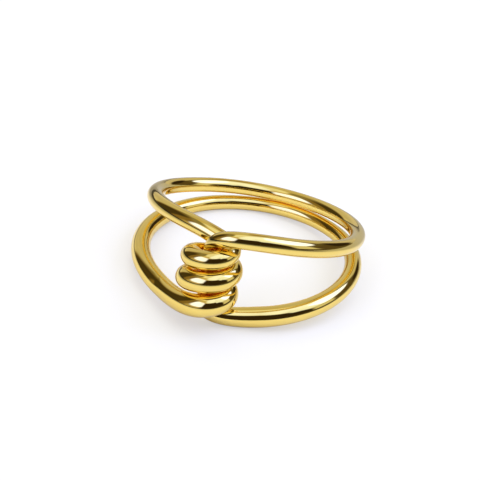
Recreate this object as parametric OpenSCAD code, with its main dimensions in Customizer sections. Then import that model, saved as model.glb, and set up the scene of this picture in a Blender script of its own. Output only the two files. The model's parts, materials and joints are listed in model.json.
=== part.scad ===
// Knot ring of one closed gold wire, lying on its side as it comes to rest on a table.
// Two slim bands lie together behind the finger, part towards the front and meet in a knot:
// one strand dives through the turns that the other winds round it.
// The wire is worked out with the finger along Z and the knot towards -Y. Angles go round
// the finger from the knot, positive towards +X. Lengths are millimetres.

/* [Finger] */
// Diameter of the finger hole between the bands
finger_d = 17.4; // [16.8:0.1:18]

/* [Wire] */
// Wire diameter behind the finger, where it is slimmest
back_d = 1.34; // [1.2:0.02:1.36]
// Wire diameter of the upper band beside the knot
upper_d = 1.56; // [1.4:0.02:1.6]
// Wire diameter of the lower band beside the knot
lower_d = 1.88; // [1.6:0.02:1.9]
// Wire diameter of the turns as they pass the right of the knot for the first time
wrap_d = 1.66; // [1.6:0.02:1.7]
// How much thicker the wire gets with each turn
wrap_growth = 0.2; // [0.1:0.02:0.22]
// Wire diameter of the strand inside the turns
core_d = 1.28; // [1.2:0.02:1.32]

/* [Bands] */
// Gap between the two bands behind the finger
band_gap = 0.04; // [0.04:0.02:0.2]
// How far each band rises above and below its mean height
band_rise = 0.84; // [0.8:0.02:1]

/* [Turns] */
// Radius of the turns, to the middle of the wire
wrap_r = 1.9; // [1.88:0.02:2]
// Radius of the first turn where it starts, as a share of wrap_r
wrap_start = 0.81; // [0.79:0.01:0.86]
// Radius of the last turn where it ends, as a share of wrap_r
wrap_end = 0.9; // [0.88:0.01:1]
// Drop from the first turn to the second, before it widens
pitch = 1.68; // [1.64:0.02:1.74]
// How much the drop widens from turn to turn
pitch_growth = 0.16; // [0.14:0.01:0.2]

/* [Hidden] */

// Radius of the bands, to the middle of the wire
ring_r = (finger_d + back_d) / 2;
band_mid = band_rise + (back_d + band_gap) / 2;

// Centre of the turns and of the strand inside them
knot_x = -0.25;
knot_out = 1.71;
knot_y = ring_r + knot_out;
core_x = -0.43;
core_out = 1.74;
core_y = ring_r + core_out;
core_top = 1.54;
core_foot = -3.1;
// How far that strand leans away from the finger for each millimetre it rises
core_lean = 0.045;
// Height at which the turns pass the right of the knot, and the angles at which they
// start and end, counted down from the right through the front
wrap_top = 1.93;
wrap_from = -40;
wrap_to = 760;
// Angles over which the turns open out at first and close in at last
opening = [-90, 280];
closing = [500, 700];

// Shoulders: the stretches in which a band leaves its level for the knot.
// Columns: angle where it leaves the band, angle where it reaches the knot, how far it
// stands out there, its height there, and how height and stand-out change per radian
LEAVE = 0;
REACH = 1;
OUT = 2;
HEIGHT = 3;
RISE = 4;
FLARE = 5;
upper_right = [98, 30, 1.89, 3.33, -1.79, -2.6];
upper_left = [132, 20, 0, 2.91, 0.33, -0.35];
lower_right = [118, 26, 0.46, 3.96, -1.8, 1.06];
lower_left = [112, 27, 1.52, 3.15, -1.9, -1.24];

// Pull of each free bend at its two ends: how far it runs on before it turns
core_top_pull = 5.4;
upper_right_pull = 17.8;
upper_left_pull = 5.4;
wrap_from_pull = 2.8;
wrap_to_pull = 7.6;
lower_left_pull = 5.9;
lower_right_pull = 8.4;
core_foot_pull = 3.9;

// Faces round the wire, and cross sections along each stretch
sides = 16;
band_step = 5;
wrap_step = 10;
bend_steps = 18;
core_steps = 5;

// Passes that find how the ring lies, and the most that it may roll to either side
tip_passes = 5;
roll_passes = 12;
most_roll = 12;

function unit(v) = v / norm(v);
function mix(a, b, u) = a + (b - a) * u;
function ease(u) = let (t = max(0, min(1, u))) t * t * (3 - 2 * t);
function radians(a) = a * PI / 180;
function point(s) = [s.x, s.y, s.z];

// Cubic from a to b that leaves with slope va and arrives with slope vb
function cubic(a, va, b, vb, u) =
    let (u2 = u * u, u3 = u2 * u)
    (2 * u3 - 3 * u2 + 1) * a + (u3 - 2 * u2 + u) * va
    + (3 * u2 - 2 * u3) * b + (u3 - u2) * vb;

// A station of the wire is its centre and its radius: [x, y, z, wire radius].
// Level is 1 on the upper band and -1 on the lower, side is 1 on the right, -1 on the left
function station(angle, r, z, d) = [r * sin(angle), -r * cos(angle), z, d / 2];
function wire_d(angle, level) =
    mix(back_d, level > 0 ? upper_d : lower_d, (1 + cos(angle)) / 2);
function band_height(angle) = band_mid + band_rise * cos(angle);
function band(angle, level) =
    station(angle, ring_r, level * band_height(angle), wire_d(angle, level));

function shoulder(s, side, level, u) =
    let (
        angle = mix(s[LEAVE], s[REACH], u),
        span = radians(s[REACH] - s[LEAVE]),
        out = cubic(0, 0, s[OUT], s[FLARE] * span, u),
        slope = -band_rise * sin(s[LEAVE]) * span,
        height = cubic(band_height(s[LEAVE]), slope, s[HEIGHT], s[RISE] * span, u)
    )
    station(angle * side, ring_r + out, level * height, wire_d(angle, level));

function share(angle, stretch) = ease((angle - stretch[0]) / (stretch[1] - stretch[0]));
function wrap(angle) =
    let (
        turn = angle / 360,
        r = wrap_r * mix(wrap_start, 1, share(angle, opening))
            * mix(1, wrap_end, share(angle, closing))
    )
    [
        knot_x + r * cos(angle),
        -knot_y - r * sin(angle),
        wrap_top - pitch * turn - pitch_growth * turn * turn,
        (wrap_d + wrap_growth * turn) / 2
    ];

function core(z) = [core_x, -core_y - core_lean * z, z, core_d / 2];
core_way = unit([0, -core_lean, 1]);

// Directions in which the wire runs at the ends of its bends
function shoulder_way(s, side, level) =
    unit(point(shoulder(s, side, level, 1)) - point(shoulder(s, side, level, 0.99)));
function wrap_way(angle) = unit(point(wrap(angle + 0.1)) - point(wrap(angle - 0.1)));

// Lists of stations, each without its last one, which starts the next list
function run(count) = [for (i = [0:count - 1]) i / count];
function bend(a, va, b, vb) = [
    for (u = run(bend_steps))
        concat(cubic(point(a), va, point(b), vb, u), mix(a[3], b[3], ease(u)))
];
function shoulder_steps(s) = round((s[LEAVE] - s[REACH]) / band_step);
function shoulder_in(s, side, level) = [
    for (u = run(shoulder_steps(s))) shoulder(s, side, level, u)
];
function shoulder_out(s, side, level) = [
    for (u = run(shoulder_steps(s))) shoulder(s, side, level, 1 - u)
];
function band_run(from, to, level) = [
    for (u = run(round(abs(to - from) / band_step))) band(mix(from, to, u), level)
];
function wrap_run() = [
    for (u = run((wrap_to - wrap_from) / wrap_step)) wrap(mix(wrap_from, wrap_to, u))
];
function core_run() = [
    for (u = run(core_steps)) core(mix(core_foot, core_top, u))
];

// The whole wire: up the core, round the upper band from right to left, behind the core,
// down the turns, round the lower band from left to right and back into the core
stations = concat(
    core_run(),
    bend(core(core_top), core_top_pull * core_way,
        shoulder(upper_right, 1, 1, 1), -upper_right_pull * shoulder_way(upper_right, 1, 1)),
    shoulder_out(upper_right, 1, 1),
    band_run(upper_right[LEAVE], 360 - upper_left[LEAVE], 1),
    shoulder_in(upper_left, -1, 1),
    bend(shoulder(upper_left, -1, 1, 1), upper_left_pull * shoulder_way(upper_left, -1, 1),
        wrap(wrap_from), wrap_from_pull * wrap_way(wrap_from)),
    wrap_run(),
    bend(wrap(wrap_to), wrap_to_pull * wrap_way(wrap_to),
        shoulder(lower_left, -1, -1, 1), -lower_left_pull * shoulder_way(lower_left, -1, -1)),
    shoulder_out(lower_left, -1, -1),
    band_run(-lower_left[LEAVE], lower_right[LEAVE] - 360, -1),
    shoulder_in(lower_right, 1, -1),
    bend(shoulder(lower_right, 1, -1, 1), lower_right_pull * shoulder_way(lower_right, 1, -1),
        core(core_foot), core_foot_pull * core_way)
);
count = len(stations);

// Turns a station about X and then about Y, as the ring tips over to lie down
function turned(s, tip, roll) =
    let (
        y = s.y * cos(tip) - s.z * sin(tip),
        z = s.y * sin(tip) + s.z * cos(tip)
    )
    [s.x * cos(roll) + z * sin(roll), y, z * cos(roll) - s.x * sin(roll), s[3]];
function laid_at(tip, roll) = [for (s = stations) turned(s, tip, roll)];

// Centre of mass: each station weighs as much as the wire around it
weights = [
    for (i = [0:count - 1])
        norm(point(stations[(i + 1) % count]) - point(stations[(i + count - 1) % count]))
        * pow(stations[i][3], 2)
];
ones = [for (w = weights) 1];
middle = weights * [for (s = stations) point(s)] / (weights * ones);

// Lowest spot of the stations for which keep is true
front_part = [for (s = stations) s.y < 0];
back_part = [for (s = stations) s.y > 0];
function lowest(list, keep) =
    let (
        low = min([for (i = [0:count - 1]) if (keep[i]) list[i].z - list[i][3]]),
        at = [for (i = [0:count - 1]) if (keep[i] && list[i].z - list[i][3] == low) list[i]][0]
    )
    [at.x, at.y, low];

// The ring lies on the foot of the knot and the back of its lower band. The tip brings both
// down to one level. The roll brings the centre of mass over the line between them, and is
// found by halving the range that holds it
function tip_at(roll, tip, passes) =
    passes == 0 ? tip :
    let (
        list = laid_at(tip, roll),
        front = lowest(list, front_part),
        back = lowest(list, back_part)
    )
    tip_at(roll, tip - atan((back.z - front.z) / (back.y - front.y)), passes - 1);
function overhang(tip, roll) =
    let (
        list = laid_at(tip, roll),
        front = lowest(list, front_part),
        back = lowest(list, back_part),
        above = turned(concat(middle, 0), tip, roll)
    )
    above.x - mix(front.x, back.x, (above.y - front.y) / (back.y - front.y));
function roll_between(from, to, passes) =
    let (roll = (from + to) / 2)
    passes == 0 ? roll :
    overhang(tip_at(roll, 0, tip_passes), roll) > 0 ?
        roll_between(roll, to, passes - 1) : roll_between(from, roll, passes - 1);
rest_roll = roll_between(-most_roll, most_roll, roll_passes);
rest_tip = tip_at(rest_roll, 0, tip_passes);
laid = laid_at(rest_tip, rest_roll);

// Cross sections stand square to the wire. Each takes its start direction from the one
// before, and the small turn left over after one round is shared out among them all
function way(i) = unit(point(laid[(i + 1) % count]) - point(laid[(i + count - 1) % count]));
ways = [for (i = [0:count]) way(i % count)];
function squared(n, t) = unit(n - (n * t) * t);
normals = [
    for (i = 0, n = squared([1, 0, 0], ways[0]); i <= count;
        i = i + 1, n = i <= count ? squared(n, ways[i]) : n) n
];
left_over = atan2(cross(normals[0], normals[count]) * ways[0], normals[0] * normals[count]);

function skin(i, k) =
    let (
        n = normals[i],
        b = cross(ways[i], n),
        a = 360 * k / sides - left_over * i / count
    )
    point(laid[i]) + laid[i][3] * (n * cos(a) + b * sin(a));
skin_points = [for (i = [0:count - 1]) for (k = [0:sides - 1]) skin(i, k)];

// The ring's middle goes over the origin and its lowest point onto the table
function lows(list) = [for (axis = [0:2]) min([for (p = list) p[axis]])];
function highs(list) = [for (axis = [0:2]) max([for (p = list) p[axis]])];
low = lows(skin_points);
high = highs(skin_points);
shift = [-(low.x + high.x) / 2, -(low.y + high.y) / 2, -low.z];

function corner(i, k) = (i % count) * sides + k % sides;
skin_faces = [
    for (i = [0:count - 1]) for (k = [0:sides - 1]) each [
        [corner(i, k), corner(i, k + 1), corner(i + 1, k + 1)],
        [corner(i, k), corner(i + 1, k + 1), corner(i + 1, k)]
    ]
];

module ring_wire() {
    color("gold")
        polyhedron(points = [for (p = skin_points) p + shift], faces = skin_faces);
}

ring_wire();
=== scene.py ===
# %% [markdown]
# # A knot ring of polished gold wire
# The ring is one closed piece of wire. Two slim bands lie together behind the finger, part
# towards the front and meet in a knot, where one strand dives down through the turns that the
# other winds round it. A jeweller would bend it round a mandrel, solder the ends inside the
# knot and polish the whole to a mirror.
#
# This lesson lays a smooth round wire over the measured ring, gives it a polished gold plate,
# and builds the small studio that the gold mirrors. Lengths on the ring are millimetres, and
# they become metres when the wire is made.

# %% Load the measured ring
import json
import math
from collections import namedtuple

import bpy
import numpy as np
from mathutils import Matrix, Vector


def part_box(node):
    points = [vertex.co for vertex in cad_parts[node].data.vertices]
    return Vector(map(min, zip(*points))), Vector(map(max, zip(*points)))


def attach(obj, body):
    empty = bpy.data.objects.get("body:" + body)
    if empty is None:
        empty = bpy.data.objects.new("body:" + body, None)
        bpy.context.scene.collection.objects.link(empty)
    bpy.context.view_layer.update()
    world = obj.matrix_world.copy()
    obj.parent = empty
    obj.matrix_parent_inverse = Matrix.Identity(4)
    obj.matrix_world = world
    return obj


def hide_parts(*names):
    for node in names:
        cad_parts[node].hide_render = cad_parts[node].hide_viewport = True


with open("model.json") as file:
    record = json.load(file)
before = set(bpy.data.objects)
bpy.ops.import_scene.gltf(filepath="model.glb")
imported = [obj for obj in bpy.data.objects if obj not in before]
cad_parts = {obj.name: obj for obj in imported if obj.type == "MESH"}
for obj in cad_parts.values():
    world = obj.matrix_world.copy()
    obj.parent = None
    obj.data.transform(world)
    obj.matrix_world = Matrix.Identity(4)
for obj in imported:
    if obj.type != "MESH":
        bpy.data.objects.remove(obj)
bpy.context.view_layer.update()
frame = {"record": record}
MM = 0.001

# %% [markdown]
# ## The line of the wire
# The wire's own line could be drawn by hand as one long curve, but every stretch of it follows
# a rule: the bands are flat arcs, the turns are a coil, and what joins them leaves one and
# reaches the other in the same direction. So the line is worked out, in stations of a centre
# and a wire radius. The finger is along Z here and the knot is towards -Y. Angles go round the
# finger from the knot, positive towards the right.

# %% Sizes of the bands
FINGER_D = 17.4
# Wire diameters: behind the finger, and of the two bands beside the knot
BACK_D, UPPER_D, LOWER_D = 1.34, 1.56, 1.88
BAND_GAP, BAND_RISE = 0.04, 0.84
RING_R = (FINGER_D + BACK_D) / 2
BAND_MID = BAND_RISE + (BACK_D + BAND_GAP) / 2
UPPER, LOWER = 1, -1
RIGHT, LEFT = 1, -1
print("bands", round(2 * RING_R, 2), "mm across,", round(2 * BAND_MID, 2), "mm apart at the sides")

# %% Curves that every stretch uses


def mix(a, b, u):
    return a + (b - a) * u


def ease(u):
    t = np.clip(u, 0, 1)
    return t * t * (3 - 2 * t)


def cubic(a, va, b, vb, u):
    """Runs from a to b, leaves with slope va and arrives with slope vb."""
    return ((2 * u**3 - 3 * u**2 + 1) * a + (u**3 - 2 * u**2 + u) * va
            + (3 * u**2 - 2 * u**3) * b + (u**3 - u**2) * vb)


def stations(x, y, z, wire_d):
    """Rows of centre and wire radius."""
    return np.stack(np.broadcast_arrays(x, y, z, wire_d / 2), -1).astype(float)


print("ease at a quarter of the way:", ease(0.25))

# %% [markdown]
# ## Bands and shoulders
# Each band is a flat arc round the finger, tilted so that it moves away from the other towards
# the front, and its wire gets slightly thicker there. A shoulder is where a band leaves that
# arc for the knot. It could be a free curve in space, but its height and how far it stands out
# are two curves against the angle here, which keeps it clear of the finger all the way.

# %% Bands and shoulders
Shoulder = namedtuple("Shoulder", "side level leave reach out height rise flare")
UPPER_RIGHT = Shoulder(RIGHT, UPPER, 98, 30, 1.89, 3.33, -1.79, -2.6)
UPPER_LEFT = Shoulder(LEFT, UPPER, 132, 20, 0, 2.91, 0.33, -0.35)
LOWER_RIGHT = Shoulder(RIGHT, LOWER, 118, 26, 0.46, 3.96, -1.8, 1.06)
LOWER_LEFT = Shoulder(LEFT, LOWER, 112, 27, 1.52, 3.15, -1.9, -1.24)


def round_finger(angle, radius, z, wire_d):
    a = np.radians(angle)
    return stations(radius * np.sin(a), -radius * np.cos(a), z, wire_d)


def band_wire(angle, level):
    front_d = UPPER_D if level == UPPER else LOWER_D
    return mix(BACK_D, front_d, (1 + np.cos(np.radians(angle))) / 2)


def band_height(angle):
    return BAND_MID + BAND_RISE * np.cos(np.radians(angle))


def band(angle, level):
    return round_finger(angle, RING_R, level * band_height(angle), band_wire(angle, level))


def shoulder(s, u):
    """From the band at u = 0 to the knot at u = 1."""
    angle = mix(s.leave, s.reach, u)
    span = math.radians(s.reach - s.leave)
    out = cubic(0, 0, s.out, s.flare * span, u)
    slope = -BAND_RISE * math.sin(math.radians(s.leave)) * span
    height = cubic(band_height(s.leave), slope, s.height, s.rise * span, u)
    return round_finger(angle * s.side, RING_R + out, s.level * height, band_wire(angle, s.level))


for name, s in (("upper right", UPPER_RIGHT), ("lower left", LOWER_LEFT)):
    print(name, "shoulder ends at", np.round(shoulder(s, 1.0)[:3], 2))

# %% [markdown]
# ## Turns and core
# The turns are a coil that opens from its first turn to its second, closes again in its third
# and drops a little more with each one, as wire does when it is wound by hand. Its wire gets a
# little thicker on the way down, so that each turn lies on the next. Blender's own spiral
# widens and drops evenly, so the turns are worked out against their angle instead. The core is
# the strand inside them, straight and leaning a little away from the finger.

# %% Sizes of the knot
# Wire diameters: of the turns at angle 0, how much each adds, and of the core
WRAP_D, WRAP_GROWTH, CORE_D = 1.66, 0.2, 1.28
KNOT_OUT, CORE_OUT = 1.71, 1.74
KNOT_X, KNOT_Y = -0.25, RING_R + KNOT_OUT
CORE_X, CORE_Y, CORE_LEAN = -0.43, RING_R + CORE_OUT, 0.045
CORE_FOOT, CORE_TOP = -3.1, 1.54
# The widest turn's radius, and the shares of it with which the turns start and end
WRAP_R, WRAP_START, WRAP_END = 1.9, 0.81, 0.9
# Height of the turns at angle 0, the drop of each, and how much that widens
WRAP_TOP, PITCH, PITCH_GROWTH = 1.93, 1.68, 0.16
# Angles at which the turns start and end, and over which they open out and close in
WRAP_FROM, WRAP_TO = -40, 760
OPENING, CLOSING = (-90, 280), (500, 700)
TURN_COUNT = (WRAP_TO - WRAP_FROM) / 360
print("turns:", round(TURN_COUNT, 2), "with a middle line up to", 2 * WRAP_R, "mm across")

# %% Turns and core


def share(angle, stretch):
    """How much of a stretch of the turns lies behind the angle."""
    return ease((angle - stretch[0]) / (stretch[1] - stretch[0]))


def turns(angle):
    """The angle counts down from the right of the knot through its front."""
    turn, a = angle / 360, np.radians(angle)
    r = WRAP_R * mix(WRAP_START, 1, share(angle, OPENING)) * mix(1, WRAP_END, share(angle, CLOSING))
    drop = PITCH * turn + PITCH_GROWTH * turn**2
    return stations(KNOT_X + r * np.cos(a), -KNOT_Y - r * np.sin(a), WRAP_TOP - drop,
                    WRAP_D + WRAP_GROWTH * turn)


def core(z):
    return stations(CORE_X, -CORE_Y - CORE_LEAN * z, z, CORE_D)


def way(run, at, step):
    """Direction in which a run goes at a place on it, from a step on either side."""
    ahead = (run(at + step) - run(at - step))[:3]
    return ahead / np.linalg.norm(ahead)


print("the core goes up along", np.round(way(core, 0, step=1), 3))

# %% [markdown]
# ## One closed line
# The line goes up the core, round the upper band from right to left, behind the core, down the
# turns, round the lower band from left to right and back into the core. Four free bends join
# the stretches. They could be arcs, but no single arc leaves one stretch and reaches the next in
# the right direction. So each has a pull at both ends, which is how far the wire runs on before it
# turns. Every stretch is sampled closely enough that a mirror shows no corners.

# %% Bends and even samples
STEPS_PER_MM = 7
BEND_LENGTH = 1.2  # of a bend, as a share of the straight way between its ends
End = namedtuple("End", "station way pull")


def samples(length):
    """Places from 0 up to but not including 1."""
    count = max(2, round(length * STEPS_PER_MM))
    return np.arange(count) / count


def bend(a, b):
    """Leaves end a and arrives at end b in the directions that they have."""
    start, stop = a.station, b.station
    u = samples(np.linalg.norm(stop[:3] - start[:3]) * BEND_LENGTH)[:, None]
    line = cubic(start[:3], a.pull * a.way, stop[:3], b.pull * b.way, u)
    return np.hstack([line, mix(start[3], stop[3], ease(u))])


def along_shoulder(s, towards_knot):
    u = samples(math.radians(s.leave - s.reach) * RING_R)
    return shoulder(s, u if towards_knot else 1 - u)


def along_band(start, end, level):
    u = samples(math.radians(abs(end - start)) * RING_R)
    return band(mix(start, end, u), level)


print("a bend between ends 10 mm apart takes", len(samples(10 * BEND_LENGTH)), "samples")

# %% The ends that the bends join


def core_end(z, pull):
    return End(core(z), way(core, z, step=1), pull)


def turns_end(angle, pull):
    return End(turns(angle), way(turns, angle, step=0.1), pull)


def shoulder_end(s, pull, towards_knot):
    arriving = way(lambda u: shoulder(s, u), 1.0, step=0.005)
    return End(shoulder(s, 1.0), arriving if towards_knot else -arriving, pull)


core_top = core_end(CORE_TOP, pull=5.4)
core_foot = core_end(CORE_FOOT, pull=3.9)
turns_start = turns_end(WRAP_FROM, pull=2.8)
turns_stop = turns_end(WRAP_TO, pull=7.6)
upper_right = shoulder_end(UPPER_RIGHT, pull=17.8, towards_knot=False)
upper_left = shoulder_end(UPPER_LEFT, pull=5.4, towards_knot=True)
lower_left = shoulder_end(LOWER_LEFT, pull=5.9, towards_knot=False)
lower_right = shoulder_end(LOWER_RIGHT, pull=8.4, towards_knot=True)
print("the core runs from", np.round(core_foot.station[:3], 2),
      "up to", np.round(core_top.station[:3], 2))

# %% Join the stretches
wire_line = np.vstack([
    core(mix(CORE_FOOT, CORE_TOP, samples(CORE_TOP - CORE_FOOT))),
    bend(core_top, upper_right),
    along_shoulder(UPPER_RIGHT, towards_knot=False),
    along_band(UPPER_RIGHT.leave, 360 - UPPER_LEFT.leave, UPPER),
    along_shoulder(UPPER_LEFT, towards_knot=True),
    bend(upper_left, turns_start),
    turns(mix(WRAP_FROM, WRAP_TO, samples(TURN_COUNT * math.tau * WRAP_R))),
    bend(turns_stop, lower_left),
    along_shoulder(LOWER_LEFT, towards_knot=False),
    along_band(-LOWER_LEFT.leave, LOWER_RIGHT.leave - 360, LOWER),
    along_shoulder(LOWER_RIGHT, towards_knot=True),
    bend(lower_right, core_foot),
])
steps = np.linalg.norm(np.roll(wire_line[:, :3], -1, 0) - wire_line[:, :3], axis=1)
print(len(wire_line), "stations,", round(steps.sum(), 1), "mm of wire, steps",
      round(steps.min(), 3), "to", round(steps.max(), 3), "mm")

# %% [markdown]
# ## Laying the ring down
# A ring put on a table tips over until the foot of its knot and the back of its lower band both
# touch, and rolls until it balances on them. The measured ring already lies that way, and its
# record says how the finger hole leans, which gives both angles. So the line is tipped, rolled,
# and moved until its box and the measured one agree.

# %% Turn the line and move it into place
mounts = {mount["name"]: mount for mount in frame["record"]["mounts"]}
finger = Vector(mounts["finger_hole"]["axis"])
rest_tip, rest_roll = -math.asin(finger.y), math.atan2(finger.x, finger.z)
turning = Matrix.Rotation(rest_roll, 3, "Y") @ Matrix.Rotation(rest_tip, 3, "X")
turned = wire_line[:, :3] @ np.array(turning).T
reach = wire_line[:, 3:]
line_low, line_high = (turned - reach).min(0), (turned + reach).max(0)
measured_low, measured_high = (np.array(corner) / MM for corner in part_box("ring_wire"))
shift = (measured_low + measured_high) / 2 - (line_low + line_high) / 2
print("tipped by", round(math.degrees(rest_tip), 3), "and rolled by",
      round(math.degrees(rest_roll), 3), "degrees")
print("moved by", np.round(shift, 3), "mm, box differs by",
      np.round((line_high - line_low) - (measured_high - measured_low), 3), "mm")


def laid(point):
    """Where a point of the upright ring, in millimetres, is on the table, in metres."""
    return (turning @ Vector(point) + Vector(shift)) * MM


# %% [markdown]
# ## Nodes in Python
# A node tree is easier to read as sums than as a list of links. Value wraps a socket, so that a
# sum of values adds its own Math nodes. Graph adds any node in one call. Colours and vectors
# don't go through sums, because a Math node would turn them grey.

# %% Sockets that take part in sums


class Value:
    """A socket that takes part in sums."""

    def __init__(self, graph, socket):
        self.graph, self.socket = graph, socket

    def maths(self, operation, *others):
        inputs = dict(enumerate((self, *others)))
        return self.graph.node("ShaderNodeMath", {"operation": operation}, inputs)[0]

    def __add__(self, other):
        return self.maths("ADD", other)

    def __mul__(self, other):
        return self.maths("MULTIPLY", other)

    def __sub__(self, other):
        return self.maths("SUBTRACT", other)

    def __rsub__(self, other):
        return (self * -1.0) + other

    __radd__, __rmul__ = __add__, __mul__


print("a value knows", [name for name in vars(Value) if name.startswith("__r")])

# %% Any node in one call


class Graph:
    """A node tree in which one call adds a node."""

    def __init__(self, tree):
        self.tree = tree

    def node(self, kind, settings=None, inputs=None):
        """Settings come first, then values or links. Returns the outputs as Values."""
        made = self.tree.nodes.new(kind)
        for name, setting in (settings or {}).items():
            setattr(made, name, setting)
        for key, given in (inputs or {}).items():
            if isinstance(given, Value):
                self.tree.links.new(given.socket, made.inputs[key])
            else:
                made.inputs[key].default_value = given
        return Outputs(self, made)


class Outputs:
    """A node's outputs, by name or number."""

    def __init__(self, graph, node):
        self.graph, self.node = graph, node

    def __getitem__(self, key):
        return Value(self.graph, self.node.outputs[key])


print("nodes are added by", Graph.node.__qualname__)

# %% Edges, mixed colours and equal parts
COLOUR_A, COLOUR_B, COLOUR_OUT = 6, 7, 2
Edge = namedtuple("Edge", "at soft share", defaults=(1.0,))


def rising(value, edge):
    """0 well below the edge and its share well above it, smooth between."""
    step = value.graph.node("ShaderNodeMapRange", {"interpolation_type": "SMOOTHERSTEP"}, {
        "Value": value, "From Min": edge.at - edge.soft, "From Max": edge.at + edge.soft,
        "To Max": edge.share})
    return step[0]


def mixed(factor, first, second):
    """A colour that runs from the first to the second, through a Mix node's colour sockets."""
    return factor.graph.node("ShaderNodeMix", {"data_type": "RGBA"}, {
        "Factor": factor, COLOUR_A: first, COLOUR_B: second})[COLOUR_OUT]


def grey(value):
    """A value as a vector or colour with three equal parts."""
    return value.graph.node("ShaderNodeCombineXYZ", inputs={part: value for part in range(3)})[0]


print("helpers:", [helper.__name__ for helper in (rising, mixed, grey)])

# %% [markdown]
# ## The wire itself
# A bevelled curve would do, but its rings follow the curve's own points. A small Geometry Nodes
# tree lays the round section evenly along the line instead, and takes its radius from each
# station. It also gives the metal the faint unevenness of hand polishing, a few thousandths of
# a millimetre, without which a mirror looks machined.

# %% A tree that lays round wire on a line


def wire_tree():
    tree = bpy.data.node_groups.new("WireOnLine", "GeometryNodeTree")
    new_input = tree.interface.new_socket
    new_input("Line", in_out="INPUT", socket_type="NodeSocketGeometry")
    for name, kind, start in (("Sections", "Int", 1000), ("Sides", "Int", 32),
                              ("Unevenness", "Float", 0.0), ("Wavelength", "Float", 0.002),
                              ("Seed", "Float", 0.0)):
        new_input(name, in_out="INPUT", socket_type="NodeSocket" + kind).default_value = start
    new_input("Metal", in_out="INPUT", socket_type="NodeSocketMaterial")
    tree.interface.new_socket("Wire", in_out="OUTPUT", socket_type="NodeSocketGeometry")
    g = Graph(tree)
    given = g.node("NodeGroupInput")
    line = g.node("GeometryNodeMeshToCurve", inputs={"Mesh": given["Line"]})[0]
    smooth = g.node("GeometryNodeCurveSplineType", {"spline_type": "CATMULL_ROM"},
                    {"Curve": line})[0]
    even = g.node("GeometryNodeResampleCurve", {"mode": "COUNT"},
                  {"Curve": smooth, "Count": given["Sections"]})[0]
    radius = g.node("GeometryNodeInputNamedAttribute", {"data_type": "FLOAT"},
                    {"Name": "wire_radius"})["Attribute"]
    section = g.node("GeometryNodeCurvePrimitiveCircle", {"mode": "RADIUS"},
                     {"Resolution": given["Sides"], "Radius": 1.0})[0]
    skin = g.node("GeometryNodeCurveToMesh", inputs={
        "Curve": even, "Profile Curve": section, "Scale": radius})[0]
    place = g.node("GeometryNodeInputPosition")[0]
    scaled = g.node("ShaderNodeVectorMath", {"operation": "DIVIDE"},
                    {0: place, 1: grey(given["Wavelength"])})[0]
    waves = g.node("ShaderNodeTexNoise", {"noise_dimensions": "4D"},
                   {"Vector": scaled, "W": given["Seed"], "Scale": 1.0, "Detail": 1.0})[0]
    height = (waves - 0.5) * given["Unevenness"]
    outward = g.node("ShaderNodeVectorMath", {"operation": "SCALE"},
                     {0: g.node("GeometryNodeInputNormal")[0], "Scale": height})[0]
    uneven = g.node("GeometryNodeSetPosition", inputs={"Geometry": skin, "Offset": outward})[0]
    shaded = g.node("GeometryNodeSetShadeSmooth", inputs={"Geometry": uneven})[0]
    real = g.node("GeometryNodeRealizeInstances", inputs={"Geometry": shaded})[0]
    finished = g.node("GeometryNodeSetMaterial",
                      inputs={"Geometry": real, "Material": given["Metal"]})[0]
    g.node("NodeGroupOutput", inputs={"Wire": finished})
    return tree


wire_on_line = wire_tree()
print("tree with", len(wire_on_line.nodes), "nodes")

# %% [markdown]
# ## Polished gold plate
# The ring is plated a pale yellow gold and polished to a mirror. Nearly all of its look is
# reflection, so the colour is a metal's tint and the rest is small: clouds of slightly paler
# and warmer plate, a haze left by the polishing cloth, and a skin of very fine ripples. One
# flat colour would look like plastic. The patterns read the ring's own coordinates, so they
# stay put on the metal.

# %% The metal
GOLD = (0.915, 0.68, 0.17)
PALE_GOLD = (0.925, 0.705, 0.195)
POLISH, CLOTH_HAZE, FINE_HAZE = 0.035, 0.03, 0.02
metal = bpy.data.materials.new("polished_gold")
metal.use_nodes = True
metal.node_tree.nodes.clear()
g = Graph(metal.node_tree)
on_ring = g.node("ShaderNodeTexCoord")["Object"]


def clouds(size_mm, detail):
    """Soft noise with features of about that size."""
    return g.node("ShaderNodeTexNoise", {"noise_dimensions": "3D"},
                  {"Vector": on_ring, "Scale": 1.0 / (size_mm * MM), "Detail": detail})[0]


plate = mixed(clouds(5, 2.0), (*GOLD, 1), (*PALE_GOLD, 1))
haze = POLISH + CLOTH_HAZE * clouds(1.6, 3.0) + FINE_HAZE * clouds(0.15, 2.0)
ripples = g.node("ShaderNodeBump", inputs={
    "Strength": 0.02, "Distance": 0.02 * MM, "Height": clouds(0.4, 2.0)})[0]
gold = g.node("ShaderNodeBsdfPrincipled", inputs={
    "Base Color": plate, "Metallic": 1.0, "Roughness": haze, "Normal": ripples})[0]
g.node("ShaderNodeOutputMaterial", inputs={"Surface": gold})
print("metal with", len(metal.node_tree.nodes), "nodes")

# %% [markdown]
# ## From tree to mesh
# The line becomes an object whose points know the wire's radius, and the tree is its modifier.
# The modifier's inputs are set by their identifiers before anything is evaluated. It could stay
# live, but the result is kept as a plain mesh, because the ring is never bent again.

# %% The line as an object
guide_mesh = bpy.data.meshes.new("line")
count = len(wire_line)
guide_mesh.from_pydata([laid(row) for row in wire_line[:, :3]],
                       [(i, (i + 1) % count) for i in range(count)], [])
radii = guide_mesh.attributes.new("wire_radius", "FLOAT", "POINT")
radii.data.foreach_set("value", (wire_line[:, 3] * MM).astype(np.float32))
guide = bpy.data.objects.new("line", guide_mesh)
bpy.context.scene.collection.objects.link(guide)
print("guide with", count, "points, wire", round(2 * wire_line[:, 3].min(), 2), "to",
      round(2 * wire_line[:, 3].max(), 2), "mm thick")

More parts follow.
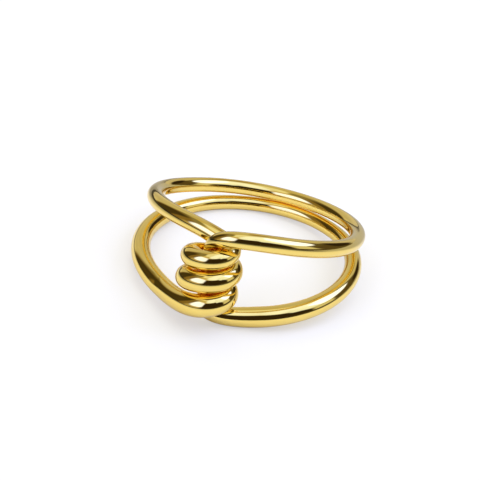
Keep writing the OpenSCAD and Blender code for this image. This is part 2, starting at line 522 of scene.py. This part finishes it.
# %% Run the tree and keep its mesh
SECTIONS, SIDES = 1300, 56
UNEVENNESS, WAVELENGTH, SEED = 0.0035 * MM, 2.2 * MM, 3.0
modifier = guide.modifiers.new("wire", "NODES")
modifier.node_group = wire_on_line
sizes = {"Sections": SECTIONS, "Sides": SIDES, "Unevenness": UNEVENNESS,
         "Wavelength": WAVELENGTH, "Seed": SEED, "Metal": metal}
for item in wire_on_line.interface.items_tree:
    if item.item_type == "SOCKET" and item.name in sizes:
        modifier[item.identifier] = sizes[item.name]
evaluated = guide.evaluated_get(bpy.context.evaluated_depsgraph_get())
ring_mesh = bpy.data.meshes.new_from_object(evaluated)
ring_mesh.name = "gold_wire"
guide.modifiers.clear()
bpy.data.objects.remove(guide)
ring = bpy.data.objects.new("gold_wire", ring_mesh)
bpy.context.scene.collection.objects.link(ring)
print("wire mesh:", len(ring_mesh.vertices), "points,", len(ring_mesh.polygons), "faces,",
      [m.name for m in ring_mesh.materials])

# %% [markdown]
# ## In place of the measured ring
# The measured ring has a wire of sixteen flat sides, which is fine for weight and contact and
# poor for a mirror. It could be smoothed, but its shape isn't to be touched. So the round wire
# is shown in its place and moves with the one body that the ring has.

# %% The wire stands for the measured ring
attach(ring, "root")
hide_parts("ring_wire")
print(ring.name, "is shown in place of ring_wire")

# %% [markdown]
# ## The table
# The ring lies on a plain pale table. It is a wide disc, so that its edge never shows, with a
# matt finish that takes a soft shadow and no glare. The gold tells more about it: only the sheet
# under the ring is bright, and it fades to dark in front and at the left, and to a dim grey
# behind. That pool of light and its fade are painted into the table's colour, as painted light
# and painted shade that only the gold sees. The picture itself was cut out on white. One even
# white would do for the camera, but the gold would then be as bright below as above. So the camera
# sees an even table, half of its light its own as on a backlit sheet, and the gold sees the painted
# bright middle fade to painted shade. The studio's light is a little blue, and a warm tint takes
# that out of the table again.

# %% The table's disc
TABLE_R = 4.0
bpy.ops.mesh.primitive_circle_add(vertices=96, radius=TABLE_R, fill_type="NGON")
table = bpy.context.object
table.name = "table"
print("table", 2 * TABLE_R, "m across")

# %% The table's finish, with its painted light and painted shade
TABLE_TINT = (0.85, 0.81, 0.60)
# Brightness of the painted light near the ring and of the painted shade far off and behind; the
# table's own glow for the camera
PAINTED_LIGHT_NEAR, PAINTED_SHADE_FAR, PAINTED_SHADE_BEHIND, OWN_LIGHT = 0.96, 0.1, 0.5, 0.5
# Edges where the painted light turns to painted shade: in front, behind, at the left and further
# left
FRONT_EDGE, REAR_EDGE = Edge(45 * MM, 33 * MM), Edge(14 * MM, 7 * MM)
LEFT_EDGE, FAR_LEFT_EDGE = Edge(21 * MM, 8 * MM, 0.36), Edge(47 * MM, 12 * MM, 0.56)
pale = bpy.data.materials.new("pale_table")
pale.use_nodes = True
pale.node_tree.nodes.clear()
g = Graph(pale.node_tree)
on_table = g.node("ShaderNodeTexCoord")["Object"]
to_camera = g.node("ShaderNodeLightPath")["Is Camera Ray"]
place = g.node("ShaderNodeSeparateXYZ", inputs={0: on_table})
away = g.node("ShaderNodeVectorMath", {"operation": "LENGTH"}, {0: on_table})["Value"]
# Painted light in the table's colour: bright near the ring, painted shade further off, at the left
# and behind
painted_fade_in_front = PAINTED_LIGHT_NEAR - (PAINTED_LIGHT_NEAR - PAINTED_SHADE_FAR) * rising(away, FRONT_EDGE)
to_the_left = place["X"] * -1.0
left = rising(to_the_left, LEFT_EDGE) + rising(to_the_left, FAR_LEFT_EDGE)
behind = rising(place["Y"], REAR_EDGE)
painted_light = (painted_fade_in_front * (1 - behind) + PAINTED_SHADE_BEHIND * behind) * (1 - left)
# The camera sees an even colour without the painted shade, and half of its light is the table's own
# glow
painted_light = painted_light * (1 - to_camera) + (1 - OWN_LIGHT) * to_camera
sheet = g.node("ShaderNodeBsdfPrincipled", inputs={
    "Base Color": g.node("ShaderNodeVectorMath", {"operation": "SCALE"},
                         {0: TABLE_TINT, "Scale": painted_light})[0],
    "Roughness": 0.9, "Specular IOR Level": 0.1, "Emission Strength": 1.0,
    "Emission Color": grey(OWN_LIGHT * to_camera)})
g.node("ShaderNodeOutputMaterial", inputs={"Surface": sheet[0]})
table.data.materials.append(pale)
print("table finish with", len(pale.node_tree.nodes), "nodes")

# %% [markdown]
# ## The studio
# A mirror shows the room, so the room is most of the picture. It is painted on the world's
# dome as soft-edged patches: a softbox in front on the left, a large one high up behind on the
# right, a yellowish ceiling that is pale on the right, walls at the right and behind, and the
# dark of the studio in front, low on the right and, with brown beside it, on the left. Real
# lamps and cards would do as well, but a dome keeps every patch in its place for all of the
# ring. The light is a little blue, so that the brightest gold turns cream, as it does in a
# photograph. Azimuth 0 is the side of the knot, positive towards the right, and elevation is
# above the table, up to 90 straight overhead. A patch lies over those before it, and its soft
# edge is given as a share of its own size.

# %% A brush for the dome
world = bpy.data.worlds.new("studio")
bpy.context.scene.world = world
world.use_nodes = True
world.node_tree.nodes.clear()
g = Graph(world.node_tree)
direction = g.node("ShaderNodeTexCoord")["Generated"]
along = g.node("ShaderNodeSeparateXYZ", inputs={0: direction})
azimuth = along["X"].maths("ARCTAN2", along["Y"] * -1.0) * math.degrees(1)
elevation = along["Z"].maths("ARCSINE") * math.degrees(1)
Patch = namedtuple("Patch", "light middle half_width low high soft corners", defaults=(0.3, 4))


def paint(room, patch):
    """Lays a soft-edged patch over what is painted so far, round for corners 2, squarer above."""
    middle, half_height = (patch.low + patch.high) / 2, (patch.high - patch.low) / 2
    aside = (azimuth - patch.middle).maths("WRAP", 180, -180) * (1 / patch.half_width)
    upward = (elevation - middle) * (1 / half_height)
    out = (aside.maths("ABSOLUTE").maths("POWER", patch.corners)
           + upward.maths("ABSOLUTE").maths("POWER", patch.corners))
    cover = 1 - rising(out.maths("POWER", 1 / patch.corners), Edge(1.0, patch.soft))
    return mixed(cover, room, (*patch.light, 1))


print("angles and brush with", len(world.node_tree.nodes), "nodes")

# %% Paint the dome
ALL_ROUND = 999
DIM_ROOM, MOTTLING = (0.12, 0.1, 0.05), 0.6
patches = {
    "ceiling": Patch((0.64, 0.55, 0.31), 0, ALL_ROUND, 48, 132, 0.06, 6),
    "above the ring": Patch((0.9, 0.96, 1.15), 0, ALL_ROUND, 67, 109, 0.22, 6),
    "pale ceiling": Patch((1.08, 1.28, 2.4), 80, 88, 50, 130, 0.12, 6),
    "wall on the right": Patch((0.72, 0.73, 0.76), 88, 25, -60, 60, 0.2, 6),
    "wall above it": Patch((1.0, 1.18, 2.1), 84, 28, 34, 66, 0.2),
    "wall behind": Patch((0.55, 0.58, 0.62), 182, 22, -100, 58, 0.12, 6),
    "wall behind on the left": Patch((0.61, 0.58, 0.53), -158, 42, -90, 50, 0.16, 4),
    "stand behind": Patch((0.36, 0.26, 0.12), -176, 8, 28, 54, 0.4),
    "dim ceiling on the left": Patch((0.26, 0.24, 0.17), -90, 34, 40, 70, 0.25, 3),
    "brown beside it": Patch((0.24, 0.17, 0.07), -88, 28, -50, 52, 0.16, 5),
    "dark on the left": Patch((0.06, 0.045, 0.02), -97, 17, -50, 48, 0.26, 4),
    "below the left softbox": Patch((0.5, 0.43, 0.28), -38, 27, -20, 20, 0.25),
    "left softbox": Patch((1.3, 1.55, 4.1), -30, 27, 12, 52, 0.24, 4),
    "dark in front": Patch((0.03, 0.02, 0.01), 29, 31, -52, 48, 0.1, 6),
    "its right end": Patch((0.03, 0.02, 0.01), 61, 23, -4, 41, 0.22, 2.5),
    "dark line on the right": Patch((0.06, 0.045, 0.015), 86, 32, -4, 10, 0.25, 4),
    "dark behind on the right": Patch((0.1, 0.075, 0.04), 140, 29, 7, 25, 0.22, 3),
    "its far end": Patch((0.03, 0.02, 0.01), 157, 13, 3, 23, 0.3, 2),
    "right softbox": Patch((1.65, 2.0, 5.2), 126, 28, 31, 64, 0.12),
}
room = (*DIM_ROOM, 1)
for patch in patches.values():
    room = paint(room, patch)
uneven = g.node("ShaderNodeTexNoise", {"noise_dimensions": "3D"},
                {"Vector": direction, "Scale": 3.0, "Detail": 2.0})[0]
room = g.node("ShaderNodeVectorMath", {"operation": "SCALE"},
              {0: room, "Scale": (1 - MOTTLING / 2) + MOTTLING * uneven})[0]
print("dome with", len(patches), "patches,", len(world.node_tree.nodes), "nodes")

# %% [markdown]
# ## The wall behind
# Seen from low down, the dome itself would show behind the ring. The camera sees a plain pale
# wall there instead, and only the ring and the table see the studio. A real wall would do, but
# it would show in the gold.

# %% A plain wall for the camera
WHITE = (1, 1, 1, 1)
seen = mixed(g.node("ShaderNodeLightPath")["Is Camera Ray"], room, WHITE)
g.node("ShaderNodeOutputWorld", inputs={
    "Surface": g.node("ShaderNodeBackground", inputs={"Color": seen, "Strength": 1.0})[0]})
print("the camera sees", WHITE[:3], "behind the table")

# %% [markdown]
# ## Light for the table
# The table needs more light than the dome gives it, or the ring would lie on grey. A wide soft
# lamp straight above adds it, and it doesn't show in the gold. Between the turns the light goes
# from wire to wire many times, so more reflections are followed than usual.

# %% Light for the table
OVERHEAD_POWER, OVERHEAD_WIDTH = 1.8, math.radians(100)
REFLECTIONS = 16
overhead_data = bpy.data.lights.new("overhead", "SUN")
overhead_data.energy, overhead_data.angle = OVERHEAD_POWER, OVERHEAD_WIDTH
overhead = bpy.data.objects.new("overhead", overhead_data)
overhead.visible_glossy = False
bpy.context.scene.collection.objects.link(overhead)
cycles = bpy.context.scene.cycles
cycles.glossy_bounces = cycles.max_bounces = REFLECTIONS
print("lamp over the table:", round(overhead_data.energy, 2),
      "reflections followed:", cycles.glossy_bounces)

# %% [markdown]
# ## The camera
# The photograph was taken with a long lens, a little from the right and above the ring, and the
# picture leans. A camera could be pointed by eye, but these angles are the ones from which the
# line of the upright ring falls on the photograph's. The camera is turned with the ring as it
# is laid down, which puts it about a third of the way up. The Standard view keeps the white of
# the softboxes white and the gold as deep as the light makes it.

# %% The camera
CAMERA_AZIMUTH, CAMERA_ELEVATION, CAMERA_LEAN = map(math.radians, (15.497, 21.333, 9.045))
# The spot of the upright ring in the middle of the picture, and how far the camera is from it
TARGET = Vector((-1.109, 0, -1.101))
CAMERA_DISTANCE = 160
LENS, SENSOR = 131.4, 36
# The camera's own directions as the upright ring has them: back, right and up
back = Vector((math.sin(CAMERA_AZIMUTH) * math.cos(CAMERA_ELEVATION),
               -math.cos(CAMERA_AZIMUTH) * math.cos(CAMERA_ELEVATION),
               math.sin(CAMERA_ELEVATION)))
level_right = Vector((math.cos(CAMERA_AZIMUTH), math.sin(CAMERA_AZIMUTH), 0))
level_up = back.cross(level_right)
right = level_right * math.cos(CAMERA_LEAN) + level_up * math.sin(CAMERA_LEAN)
up = level_up * math.cos(CAMERA_LEAN) - level_right * math.sin(CAMERA_LEAN)
axes = turning @ Matrix((right, up, back)).transposed()
camera_data = bpy.data.cameras.new("camera")
camera_data.lens, camera_data.sensor_width = LENS, SENSOR
camera_data.clip_start, camera_data.clip_end = 0.01, 20
camera = bpy.data.objects.new("camera", camera_data)
bpy.context.scene.collection.objects.link(camera)
camera.matrix_world = Matrix.Translation(laid(TARGET + back * CAMERA_DISTANCE)) @ axes.to_4x4()
bpy.context.scene.camera = camera
view = bpy.context.scene.view_settings
view.view_transform, view.look = "Standard", "None"
print("camera", round(math.degrees(math.asin(axes.col[2].z)), 1), "degrees above the table")

# %% [markdown]
# ## The wire's size
# A wire that stands for the measured ring has to be as large as it is. The two differ in size
# by less than two hundredths of a millimetre, because the wire is rounder here and a little
# uneven.
